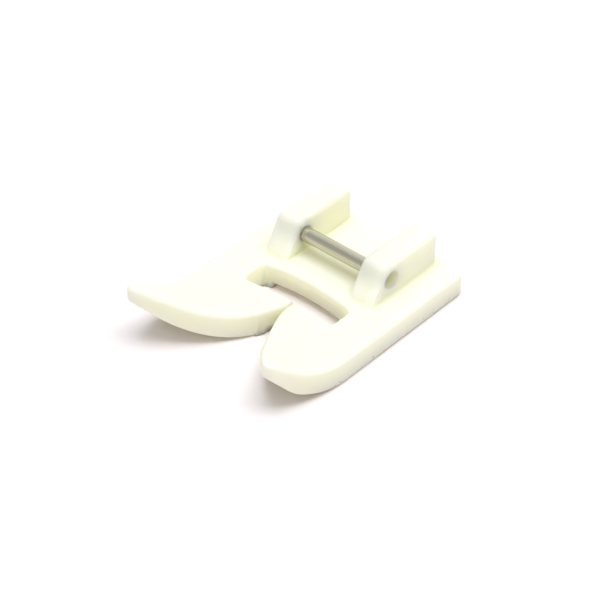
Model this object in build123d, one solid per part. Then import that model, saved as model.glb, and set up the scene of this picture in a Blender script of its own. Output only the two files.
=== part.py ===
from build123d import *
from math import radians, tan
import os

os.makedirs("parts", exist_ok=True)

# Clip-on presser foot of a sewing machine, in millimetres.
# +X is to the right of the person sewing, -Y is the toe end and +Z is up.
# The origin is under the middle of the foot, at the height of the sole's flat underside.

# Sole
SOLE_WIDTH = 20.8
SOLE_THICKNESS = 2.95
REAR_Y = 14.2
REAR_CORNER_R = 1.2
EDGE_R = 0.5

# Toes from the side: flat, then an arc, then a straight ramp
BEND_Y = -5.0
BOTTOM_BEND_R = 10.4
BOTTOM_RAMP_DEG = 48.0
TOP_BEND_R = 9.35
TOP_RAMP_DEG = 35.0
RAMP_LENGTH = 9.0

# Bevel under the front of the right toe
BEVEL_Y = -10.6
BEVEL_DEG = 49.0
BEVEL_BLEND_R = 4.0

# Toes from above: each is a horn between an outer and an inner arc that meet at its tip
LEFT_OUTER_Y = -9.4
LEFT_INNER_Y = -2.3
LEFT_INNER_R = 20.9
LEFT_TIP_Y = -14.73
LEFT_TIP_INSET = 0.3
RIGHT_OUTER_Y = -4.0
RIGHT_INNER_Y = -3.78
RIGHT_INNER_R = 22.2
RIGHT_TIP_Y = -13.7
RIGHT_TIP_INSET = 2.5
TIP_R = 0.9

# Thread slit from the toe gap into the needle slot, a wider channel under it, and a nib below its mouth
SLIT_X = 0.65
SLIT_WIDTH = 0.34
NIB_Y = -5.4
NIB_HEIGHT = 1.0
NIB_REACH = 2.0
CHANNEL_WIDTH = 2.1
CHANNEL_DEPTH = 0.9

# Needle slot, bowed towards the rear
SLOT_LENGTH = 11.6
SLOT_WIDTH = 3.1
SLOT_REAR_Y = 1.75
SLOT_BOW_R = 26.0
SLOT_CORNER_R = 0.6
SLOT_BEVEL = 0.3

# Groove under the rear half, where the finished stitches pass
GROOVE_WIDTH = 9.7
GROOVE_DEPTH = 0.85

# Ears that carry the cross pin
EAR_GAP = 8.5
EAR_THICKNESS = 3.0
EAR_TOP_Z = 6.8
EAR_REAR_Y = 13.3
EAR_FRONT_Y = 2.7
EAR_LEAN_DEG = 29.0
EAR_NOSE_R = 1.1
EAR_TAIL_R = 0.6
EAR_EDGE_R = 0.6
EAR_EMBED = 1.0

# Cross pin, pressed into both ears line to line and ending inside their outer faces
PIN_Y = 5.9
PIN_Z = 4.8
PIN_R = 0.8
PIN_RECESS = 1.3
PIN_CHAMFER = 0.15
PIN_CLEARANCE = 0.0
MOUTH_R = 1.02

half = SOLE_WIDTH / 2
beyond = SOLE_WIDTH
slack = 0.01


def level(edges, height):
    """The edges that lie level at one height."""
    return edges.filter_by_position(Axis.Z, height - slack, height + slack)


def rim(solid, up):
    """Edges round the sole's top (up 1) or underside (up -1), without bend lines and slit walls."""
    faces = [face for face in solid.faces() if face.normal_at().Z * up > slack]
    edges = ShapeList(edge for face in faces for edge in face.edges())
    bend_lines = edges.filter_by(Axis.X).filter_by_position(Axis.Y, -beyond, REAR_Y - slack)
    slit_walls = edges.filter_by(Axis.Y).filter_by_position(Axis.X, slack - half, half - slack)
    return edges - bend_lines - slit_walls


# Side view of the sole with its turned-up front, drawn in Y and Z and swept across the width
low_flat = Line((REAR_Y, 0), (BEND_Y, 0))
low_bend = JernArc(low_flat @ 1, (-1, 0), BOTTOM_BEND_R, -BOTTOM_RAMP_DEG)
low_ramp = Line(low_bend @ 1, low_bend @ 1 + (low_bend % 1) * RAMP_LENGTH)
top_flat = Line((REAR_Y, SOLE_THICKNESS), (BEND_Y, SOLE_THICKNESS))
top_bend = JernArc(top_flat @ 1, (-1, 0), TOP_BEND_R, -TOP_RAMP_DEG)
top_ramp = Line(top_bend @ 1, top_bend @ 1 + (top_bend % 1) * RAMP_LENGTH)
front = Line(low_ramp @ 1, top_ramp @ 1)
rear = Line(low_flat @ 0, top_flat @ 0)
side_view = make_face([low_flat, low_bend, low_ramp, front, top_ramp, top_bend, top_flat, rear])
side_sweep = extrude(Plane.YZ * side_view, beyond, both=True)

# View from above: straight sides, two horns and the slit between them
left_outer = (-half, LEFT_OUTER_Y)
left_tip = (-half + LEFT_TIP_INSET, LEFT_TIP_Y)
left_inner = (SLIT_X - SLIT_WIDTH / 2, LEFT_INNER_Y)
right_outer = (half, RIGHT_OUTER_Y)
right_tip = (half - RIGHT_TIP_INSET, RIGHT_TIP_Y)
right_inner = (SLIT_X + SLIT_WIDTH / 2, RIGHT_INNER_Y)
slit_end_y = SLOT_REAR_Y - SLOT_WIDTH / 3
plan = make_face([
    Line((-half, REAR_Y), left_outer),
    TangentArc(left_outer, left_tip, tangent=(0, -1)),
    RadiusArc(left_tip, left_inner, -LEFT_INNER_R),
    Polyline(left_inner, (left_inner[0], slit_end_y), (right_inner[0], slit_end_y), right_inner),
    RadiusArc(right_inner, right_tip, -RIGHT_INNER_R),
    TangentArc(right_outer, right_tip, tangent=(0, -1)),
    Polyline(right_outer, (half, REAR_Y), (-half, REAR_Y)),
])
plan = fillet(plan.vertices().sort_by(Axis.Y)[:2], TIP_R)
plan = fillet(plan.vertices().sort_by(Axis.Y)[-2:], REAR_CORNER_R)
blank = side_sweep & extrude(plan, beyond)

# Bevel under the right toe, from the bend up to the tip, blended into the bend
bevel_z = BOTTOM_BEND_R - (BOTTOM_BEND_R ** 2 - (BEND_Y - BEVEL_Y) ** 2) ** 0.5
bevel_top_z = bevel_z + RAMP_LENGTH * tan(radians(BEVEL_DEG))
bevel = make_face(Polyline(
    (BEVEL_Y, bevel_z),
    (BEVEL_Y - RAMP_LENGTH, bevel_top_z),
    (BEVEL_Y - RAMP_LENGTH, bevel_z),
    close=True,
))
blank = blank - extrude(Plane.YZ * bevel, beyond)
crease = blank.edges().filter_by(Axis.X).sort_by_distance((right_tip[0], BEVEL_Y, bevel_z))[0]
blank = fillet(crease, BEVEL_BLEND_R)

# Soft edges all round, except that the underside's rounding stops short of the slit
sole = fillet(rim(blank, 1), EDGE_R)
sole = fillet(rim(sole, -1), EDGE_R)
nibs = Pos(SLIT_X, NIB_Y, 0) * Box(
    2 * NIB_REACH, slit_end_y - NIB_Y, NIB_HEIGHT, align=(Align.CENTER, Align.MIN, Align.MIN))
sole = (sole - nibs) + (blank & nibs)

# Needle slot: one arc and its copy moved forward, with rounded corners and a bevelled upper edge
slot_sag = SLOT_BOW_R - (SLOT_BOW_R ** 2 - (SLOT_LENGTH / 2) ** 2) ** 0.5
slot_ends_y = SLOT_REAR_Y - slot_sag
slot_rear = ThreePointArc(
    (-SLOT_LENGTH / 2, slot_ends_y), (0, SLOT_REAR_Y), (SLOT_LENGTH / 2, slot_ends_y))
slot_front = Pos(0, -SLOT_WIDTH) * slot_rear
slot = make_face([
    slot_rear,
    Line(slot_rear @ 1, slot_front @ 1),
    slot_front,
    Line(slot_front @ 0, slot_rear @ 0),
])
slot = extrude(fillet(slot.vertices(), SLOT_CORNER_R), beyond, both=True)
slotted = sole - slot
sole = chamfer(level(new_edges(sole, slot, combined=slotted), SOLE_THICKNESS), SLOT_BEVEL)

# Groove along the underside, from the needle slot out through the rear
groove = Pos(0, SLOT_REAR_Y - SLOT_WIDTH / 2, 0) * Box(
    GROOVE_WIDTH, REAR_Y + SLOT_WIDTH, GROOVE_DEPTH, align=(Align.CENTER, Align.MIN, Align.MIN))
sole = sole - groove

# Channel for the thread under the slit, from the open toe gap to the needle slot
channel_y = NIB_Y - CHANNEL_WIDTH
channel = Pos(SLIT_X, channel_y, 0) * Box(
    CHANNEL_WIDTH, slit_end_y - channel_y, CHANNEL_DEPTH, align=(Align.CENTER, Align.MIN, Align.MIN))
sole = sole - channel

# One ear, drawn in Y and Z with a leaning front and rounded edges, and its mirror image
lean = tan(radians(EAR_LEAN_DEG))
ear_foot_z = SOLE_THICKNESS - EAR_EMBED
ear_nose = (EAR_FRONT_Y + lean * (EAR_TOP_Z - SOLE_THICKNESS), EAR_TOP_Z)
ear_tail = (EAR_REAR_Y, EAR_TOP_Z)
ear_side = make_face(Polyline(
    (EAR_REAR_Y, ear_foot_z),
    ear_tail,
    ear_nose,
    (EAR_FRONT_Y - lean * EAR_EMBED, ear_foot_z),
    close=True,
))
ear_side = fillet(ear_side.vertices().sort_by_distance(ear_nose)[0], EAR_NOSE_R)
ear_side = fillet(ear_side.vertices().sort_by_distance(ear_tail)[0], EAR_TAIL_R)
ear = extrude(Plane.YZ.offset(EAR_GAP / 2) * ear_side, EAR_THICKNESS)
ear_faces = ear.faces().filter_by(Axis.X)
ear_rim = ear_faces.edges() - level(ear_faces.edges(), ear_foot_z)
ear = fillet(ear_rim, EAR_EDGE_R)
other_ear = mirror(ear, Plane.YZ)
foot = sole + ear + other_ear

# The pin's hole runs through both ears and opens wider at their outer faces
ear_out = EAR_GAP / 2 + EAR_THICKNESS
pin_end = ear_out - PIN_RECESS
pin_line = Plane(origin=(0, PIN_Y, PIN_Z), z_dir=(1, 0, 0))
foot = foot - pin_line * Cylinder(PIN_R + PIN_CLEARANCE, 2 * ear_out)
mouth = pin_line * Pos(0, 0, pin_end) * Cylinder(
    MOUTH_R, 2 * PIN_RECESS, align=(Align.CENTER, Align.CENTER, Align.MIN))
foot = foot - mouth - mirror(mouth, Plane.YZ)

pin = pin_line * Cylinder(PIN_R, 2 * pin_end)
pin = chamfer(pin.edges().filter_by(GeomType.CIRCLE), PIN_CHAMFER)

export_step(foot, "parts/foot.step")
export_step(pin, "parts/cross_pin.step")
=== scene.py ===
from math import cos, pi, radians, sin

import bmesh
import bpy
import numpy as np
from mathutils import Matrix, Vector


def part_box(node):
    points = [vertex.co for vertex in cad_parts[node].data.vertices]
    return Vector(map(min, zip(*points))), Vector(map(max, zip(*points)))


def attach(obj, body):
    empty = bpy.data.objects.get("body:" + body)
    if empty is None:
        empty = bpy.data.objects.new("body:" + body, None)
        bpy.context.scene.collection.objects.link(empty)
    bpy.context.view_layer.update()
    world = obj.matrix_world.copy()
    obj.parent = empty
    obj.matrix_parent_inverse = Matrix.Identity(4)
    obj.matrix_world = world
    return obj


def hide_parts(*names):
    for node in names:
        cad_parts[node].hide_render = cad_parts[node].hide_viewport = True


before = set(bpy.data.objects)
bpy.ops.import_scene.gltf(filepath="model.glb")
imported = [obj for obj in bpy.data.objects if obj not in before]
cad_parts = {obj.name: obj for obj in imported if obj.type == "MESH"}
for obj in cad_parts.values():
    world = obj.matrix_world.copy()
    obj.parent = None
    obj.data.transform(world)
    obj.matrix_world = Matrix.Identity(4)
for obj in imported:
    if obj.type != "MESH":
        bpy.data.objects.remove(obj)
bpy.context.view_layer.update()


# The foot: sole, turned-up toes and ears in one piece, injection moulded in cream-white non-stick plastic.
# The plastic is waxy and lets light in. The mould leaves it satin, with a fine grain. It is rubbed smoother
# near the underside, and small grey scuffs lie low on its right side.

JOIN_DISTANCE = 1e-7
FLAT_ANGLE = radians(0.05)
SOFT_EDGE_ANGLE = radians(52)
CREAM = (0.95, 0.945, 0.755, 1.0)
DEEP_CREAM = (0.935, 0.92, 0.7, 1.0)
CREAM_PATCH_SCALE = 420.0
CREAM_PATCH_DETAIL = 4.0
LIGHT_DEPTH = 0.0035
LIGHT_DEPTH_SHARES = (1.0, 0.92, 0.75)
PLASTIC_IOR = 1.38

# Scuffs go from none to full down these heights and out over these places to the right.
# They are the parts of a noise that rise through these levels.
SCUFF_GREY = (0.72, 0.69, 0.6, 1.0)
SCUFF_HEIGHTS = (0.0011, 0.0007)
SCUFF_PLACES = (0.0098, 0.0102)
SCUFF_LEVELS = (0.61, 0.66)
SCUFF_SCALE = 2400.0
SCUFF_DETAIL = 3.0

RUBBED_HEIGHT = 0.0006
RUBBED_ROUGHNESS = 0.3
MOULDED_ROUGHNESS = 0.42
MOULD_GRAIN_SCALE = 5200.0
MOULD_GRAIN_DETAIL = 3.0
MOULD_GRAIN_STRENGTH = 0.12
MOULD_GRAIN_HEIGHT = 0.00004


def joined_copy(name, node):
    """A smooth-shaded copy of one node's mesh, its loose triangles joined at their corners and in the flats.

    Edges that turn by more than the soft edge angle stay crisp. Elsewhere the normal at a corner is the mean
    of its faces' normals, each counted by the face's area.
    """
    mesh = node.data.copy()
    mesh.name = name
    shape = bmesh.new()
    shape.from_mesh(mesh)
    bmesh.ops.remove_doubles(shape, verts=shape.verts, dist=JOIN_DISTANCE)
    bmesh.ops.dissolve_limit(shape, angle_limit=FLAT_ANGLE, verts=shape.verts, edges=shape.edges)
    shape.to_mesh(mesh)
    shape.free()
    mesh.normals_split_custom_set([(0.0, 0.0, 0.0)] * len(mesh.loops))
    mesh.shade_smooth()
    mesh.set_sharp_from_angle(angle=SOFT_EDGE_ANGLE)
    piece = bpy.data.objects.new(name, mesh)
    bpy.context.scene.collection.objects.link(piece)
    lean = piece.modifiers.new("lean_to_large_faces", "WEIGHTED_NORMAL")
    lean.mode = "FACE_AREA"
    lean.keep_sharp = True
    return piece


def bare_finish(name):
    """A new material with its node tree, its shader, and the place on the piece in metres."""
    material = bpy.data.materials.new(name)
    material.use_nodes = True
    tree = material.node_tree
    place = tree.nodes.new("ShaderNodeTexCoord").outputs["Object"]
    return material, tree, tree.nodes["Principled BSDF"], place


def mottle(tree, place, scale, detail):
    """Soft noise over a place, within 0 and 1. The scale is its patches to one unit of the place."""
    noise = tree.nodes.new("ShaderNodeTexNoise")
    noise.inputs["Scale"].default_value = scale
    noise.inputs["Detail"].default_value = detail
    tree.links.new(place, noise.inputs["Vector"])
    return noise.outputs["Fac"]


def fade(tree, value, start, end, low=0.0, high=1.0, curve="LINEAR"):
    """Low where a value is at its start, high where it is at its end, a ramp between and level beyond."""
    ramp = tree.nodes.new("ShaderNodeMapRange")
    ramp.interpolation_type = curve
    ramp.inputs["From Min"].default_value = start
    ramp.inputs["From Max"].default_value = end
    ramp.inputs["To Min"].default_value = low
    ramp.inputs["To Max"].default_value = high
    tree.links.new(value, ramp.inputs["Value"])
    return ramp.outputs["Result"]


def where_both(tree, first, second):
    """One share times another, so that it is full only where both are."""
    product = tree.nodes.new("ShaderNodeMath")
    product.operation = "MULTIPLY"
    tree.links.new(first, product.inputs[0])
    tree.links.new(second, product.inputs[1])
    return product.outputs["Value"]


def tint(tree, share, first, second):
    """The first colour where a share is 0, the second where it is 1. The first may be another node's."""
    mix = tree.nodes.new("ShaderNodeMix")
    mix.data_type = "RGBA"
    if isinstance(first, bpy.types.NodeSocket):
        tree.links.new(first, mix.inputs["A"])
    else:
        mix.inputs["A"].default_value = first
    mix.inputs["B"].default_value = second
    tree.links.new(share, mix.inputs["Factor"])
    return mix.outputs["Result"]


def relief(tree, share, strength, height):
    """The surface's normal, tilted as if the surface rose by a share of a height."""
    bump = tree.nodes.new("ShaderNodeBump")
    bump.inputs["Strength"].default_value = strength
    bump.inputs["Distance"].default_value = height
    tree.links.new(share, bump.inputs["Height"])
    return bump.outputs["Normal"]


def cream_plastic():
    """Soft patches of two creams, scuffs low on the right side, a fine mould grain, and light that sinks in.

    A scuff shows as far as its place is low, to the right and in a speck: the product of those three shares.
    """
    material, tree, shader, place = bare_finish("cream_plastic")
    link = tree.links.new
    where = tree.nodes.new("ShaderNodeSeparateXYZ")
    link(place, where.inputs["Vector"])
    height = where.outputs["Z"]

    patches = mottle(tree, place, CREAM_PATCH_SCALE, CREAM_PATCH_DETAIL)
    cream = tint(tree, patches, CREAM, DEEP_CREAM)
    low = fade(tree, height, *SCUFF_HEIGHTS)
    right = fade(tree, where.outputs["X"], *SCUFF_PLACES)
    specks = fade(tree, mottle(tree, place, SCUFF_SCALE, SCUFF_DETAIL), *SCUFF_LEVELS)
    scuffs = where_both(tree, where_both(tree, low, right), specks)
    link(tint(tree, scuffs, cream, SCUFF_GREY), shader.inputs["Base Color"])

    roughness = fade(tree, height, 0.0, RUBBED_HEIGHT, RUBBED_ROUGHNESS, MOULDED_ROUGHNESS)
    link(roughness, shader.inputs["Roughness"])
    grain = mottle(tree, place, MOULD_GRAIN_SCALE, MOULD_GRAIN_DETAIL)
    link(relief(tree, grain, MOULD_GRAIN_STRENGTH, MOULD_GRAIN_HEIGHT), shader.inputs["Normal"])

    shader.inputs["IOR"].default_value = PLASTIC_IOR
    shader.inputs["Subsurface Weight"].default_value = 1.0
    shader.inputs["Subsurface Radius"].default_value = LIGHT_DEPTH_SHARES
    shader.inputs["Subsurface Scale"].default_value = LIGHT_DEPTH
    return material


foot = joined_copy("moulded_foot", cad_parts["foot"])
foot.data.materials.clear()
foot.data.materials.append(cream_plastic())
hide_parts("foot")
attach(foot, "root")


# The cross pin: a short round steel bar, ground along its length and polished, bevelled at both ends.
# It is pressed through the holes of both ears and stops inside their outer faces.

PIN_BEVEL = 0.00015
PIN_SIDES = 128
PIN_CRISP_ANGLE = radians(30)
PIN_STEEL = (0.6, 0.585, 0.47, 1.0)
PIN_DARK_STEEL = (0.516, 0.5031, 0.4042, 1.0)
PIN_ROUGHNESS = (0.14, 0.3)
GRINDING_SCALES = (120.0, 5000.0, 5000.0)
GRINDING_DETAIL = 4.0
GRINDING_STRENGTH = 0.15
GRINDING_HEIGHT = 0.00001


def turned_bar(name, low, high, bevel):
    """A round bar along X between two corners of its box, as a profile turned about its middle line.

    A point is the middle line's point at its x, plus its radius times (cos, sin) of its angle in Y and Z.
    The radius is the bar's own along its length, less the bevel at both ends, and nought at the poles.
    """
    middle = (low + high) / 2
    radius = (high.z - low.z) / 2
    x = np.array([low.x, low.x + bevel, high.x - bevel, high.x])
    r = np.array([radius - bevel, radius, radius, radius - bevel])
    angle = np.linspace(0.0, 2 * pi, PIN_SIDES, endpoint=False)
    ring_x = np.repeat(x, PIN_SIDES)
    ring_y = middle.y + np.outer(r, np.cos(angle)).ravel()
    ring_z = middle.z + np.outer(r, np.sin(angle)).ravel()
    rings = np.column_stack([ring_x, ring_y, ring_z])
    poles = np.array([[low.x, middle.y, middle.z], [high.x, middle.y, middle.z]])
    here = np.arange(PIN_SIDES)
    beyond = (here + 1) % PIN_SIDES
    last = (len(x) - 1) * PIN_SIDES
    starts = np.arange(0, last, PIN_SIDES)[:, None]
    walls = np.stack(
        [starts + here, starts + beyond, starts + PIN_SIDES + beyond, starts + PIN_SIDES + here], axis=-1)
    low_pole = np.full(PIN_SIDES, len(rings))
    high_pole = low_pole + 1
    low_end = np.column_stack([low_pole, beyond, here])
    high_end = np.column_stack([high_pole, last + here, last + beyond])
    mesh = bpy.data.meshes.new(name)
    mesh.from_pydata(
        np.vstack([rings, poles]).tolist(), [],
        walls.reshape(-1, 4).tolist() + low_end.tolist() + high_end.tolist())
    mesh.shade_smooth()
    mesh.set_sharp_from_angle(angle=PIN_CRISP_ANGLE)
    piece = bpy.data.objects.new(name, mesh)
    bpy.context.scene.collection.objects.link(piece)
    return piece


def ground_steel():
    """Grey steel with grinding lines along X: noise drawn out along the bar sets tone, gloss and relief."""
    material, tree, shader, place = bare_finish("ground_steel")
    link = tree.links.new
    drawn_out = tree.nodes.new("ShaderNodeMapping")
    drawn_out.inputs["Scale"].default_value = GRINDING_SCALES
    link(place, drawn_out.inputs["Vector"])
    lines = mottle(tree, drawn_out.outputs["Vector"], 1.0, GRINDING_DETAIL)
    link(tint(tree, lines, PIN_STEEL, PIN_DARK_STEEL), shader.inputs["Base Color"])
    link(fade(tree, lines, 0.0, 1.0, *PIN_ROUGHNESS), shader.inputs["Roughness"])
    link(relief(tree, lines, GRINDING_STRENGTH, GRINDING_HEIGHT), shader.inputs["Normal"])
    shader.inputs["Metallic"].default_value = 1.0
    return material


pin = turned_bar("steel_pin", *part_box("cross_pin"), PIN_BEVEL)
pin.data.materials.append(ground_steel())
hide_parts("cross_pin")
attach(pin, "root")


# The table top that the foot lies on: a plain pale sheet, a touch warm, with a faint paper grain.
# It is one flat square, set a hair below the sole so that the two don't share a plane.

TABLE_HALF = 1.0
TABLE_DROP = 0.00001
TABLE_PALE = (0.88, 0.845, 0.88, 1.0)
TABLE_WARM = (0.87, 0.83, 0.86, 1.0)
TABLE_GRAIN_SCALE = 300.0
TABLE_GRAIN_DETAIL = 2.0
TABLE_ROUGHNESS = 0.9
TABLE_SHINE = 0.1

corners = np.array([[-1, -1, 0], [1, -1, 0], [1, 1, 0], [-1, 1, 0]]) * TABLE_HALF - [0, 0, TABLE_DROP]
table_mesh = bpy.data.meshes.new("table_top")
table_mesh.from_pydata(corners.tolist(), [], [(0, 1, 2, 3)])
table = bpy.data.objects.new("table_top", table_mesh)
bpy.context.scene.collection.objects.link(table)
sheet, sheet_tree, sheet_shader, sheet_place = bare_finish("pale_sheet")
sheet_grain = mottle(sheet_tree, sheet_place, TABLE_GRAIN_SCALE, TABLE_GRAIN_DETAIL)
sheet_tone = tint(sheet_tree, sheet_grain, TABLE_PALE, TABLE_WARM)
sheet_tree.links.new(sheet_tone, sheet_shader.inputs["Base Color"])
sheet_shader.inputs["Roughness"].default_value = TABLE_ROUGHNESS
sheet_shader.inputs["Specular IOR Level"].default_value = TABLE_SHINE
table.data.materials.append(sheet)


# The light: one wide soft box overhead, reaching out to the camera's right, in a white room that glows from
# its ceiling and faintly from the camera's side. Seen straight or mirrored in a gloss, the room is pale, but
# darker high up in front of the toes.

VIEW_AZIMUTH = radians(42)
SOFT_BOX_PLACE = Vector((0.4, 0.0, 1.68))
SOFT_BOX_WIDTH = 1.92
SOFT_BOX_DEPTH = 1.12
SOFT_BOX_WATTS = 28.8
ROOM_COLOUR = (1.0, 0.99, 0.97, 1.0)

# Each glow has a direction, which turns with the view's azimuth, and a brightness.
# The glows and the dark part begin and are full at these cosines of the angle from their middles.
ROOM_GLOWS = [(Vector((0.0, 0.0, 1.0)), 0.83), (Vector((0.0, -0.91, 0.41)), 0.07)]
GLOW_COSINES = (0.25, 0.95)
SEEN_PALE = 1.08
SEEN_DARK = 0.52
DARK_TOWARDS = Vector((0.0, -0.52, 0.854))
DARK_COSINES = (0.25, 0.85)

# Light in the needle slot and under the toes comes by way of many pale surfaces.
WHITE_ROOM_BOUNCES = 20


def facing(tree, ray, direction):
    """How nearly a ray points in a direction: the cosine of the angle between them, as their dot product."""
    dot = tree.nodes.new("ShaderNodeVectorMath")
    dot.operation = "DOT_PRODUCT"
    dot.inputs[1].default_value = direction
    tree.links.new(ray, dot.inputs[0])
    return dot.outputs["Value"]


to_view = Matrix.Rotation(VIEW_AZIMUTH, 3, "Z")
soft_box = bpy.data.lights.new("soft_box", "AREA")
soft_box.shape = "RECTANGLE"
soft_box.size = SOFT_BOX_WIDTH
soft_box.size_y = SOFT_BOX_DEPTH
soft_box.energy = SOFT_BOX_WATTS
soft_box_object = bpy.data.objects.new("soft_box", soft_box)
soft_box_object.matrix_world = to_view.to_4x4() @ Matrix.Translation(SOFT_BOX_PLACE)
bpy.context.scene.collection.objects.link(soft_box_object)

room = bpy.data.worlds.new("pale_room")
room.use_nodes = True
room_tree = room.node_tree
room_link = room_tree.links.new
room_ray = room_tree.nodes.new("ShaderNodeTexCoord").outputs["Generated"]
glows = room_tree.nodes.new("ShaderNodeMath")
glows.operation = "ADD"
for entry, (glow_direction, brightness) in zip(glows.inputs, ROOM_GLOWS):
    near_glow = facing(room_tree, room_ray, to_view @ glow_direction)
    room_link(fade(room_tree, near_glow, *GLOW_COSINES, high=brightness, curve="SMOOTHSTEP"), entry)
near_dark = facing(room_tree, room_ray, DARK_TOWARDS)
seen_room = fade(room_tree, near_dark, *DARK_COSINES, SEEN_PALE, SEEN_DARK)
light_path = room_tree.nodes.new("ShaderNodeLightPath")
seen = room_tree.nodes.new("ShaderNodeMath")
seen.operation = "MAXIMUM"
room_link(light_path.outputs["Is Camera Ray"], seen.inputs[0])
room_link(light_path.outputs["Is Glossy Ray"], seen.inputs[1])
strength = room_tree.nodes.new("ShaderNodeMix")
strength.data_type = "FLOAT"
room_link(seen.outputs["Value"], strength.inputs["Factor"])
room_link(glows.outputs["Value"], strength.inputs["A"])
room_link(seen_room, strength.inputs["B"])
room_shader = room_tree.nodes["Background"]
room_shader.inputs["Color"].default_value = ROOM_COLOUR
room_link(strength.outputs["Result"], room_shader.inputs["Strength"])
bpy.context.scene.world = room
bpy.context.scene.view_settings.view_transform = "Standard"
bpy.context.scene.cycles.max_bounces = WHITE_ROOM_BOUNCES
bpy.context.scene.cycles.diffuse_bounces = WHITE_ROOM_BOUNCES


# The camera: a long lens at the photo's angle, from the front right and above, aimed near the foot's middle.
# Its angle, distance and lens were fitted to the photo, and everything is in focus.

VIEW_ELEVATION = radians(39)
AIM = Vector((0.00108, -0.00093, 0.003))
CAMERA_DISTANCE = 0.1727
CAMERA_LENS = 103.74
CAMERA_SENSOR = 36.0
CAMERA_NEAR = 0.01
CAMERA_FAR = 20.0

lens = bpy.data.cameras.new("camera")
lens.lens = CAMERA_LENS
lens.sensor_width = CAMERA_SENSOR
lens.clip_start = CAMERA_NEAR
lens.clip_end = CAMERA_FAR
camera = bpy.data.objects.new("camera", lens)
outwards = Vector((
    sin(VIEW_AZIMUTH) * cos(VIEW_ELEVATION), -cos(VIEW_AZIMUTH) * cos(VIEW_ELEVATION), sin(VIEW_ELEVATION)))
camera_place = Matrix.Translation(AIM + outwards * CAMERA_DISTANCE)
camera_turn = outwards.to_track_quat("Z", "Y").to_matrix().to_4x4()
camera.matrix_world = camera_place @ camera_turn
bpy.context.scene.collection.objects.link(camera)
bpy.context.scene.camera = camera
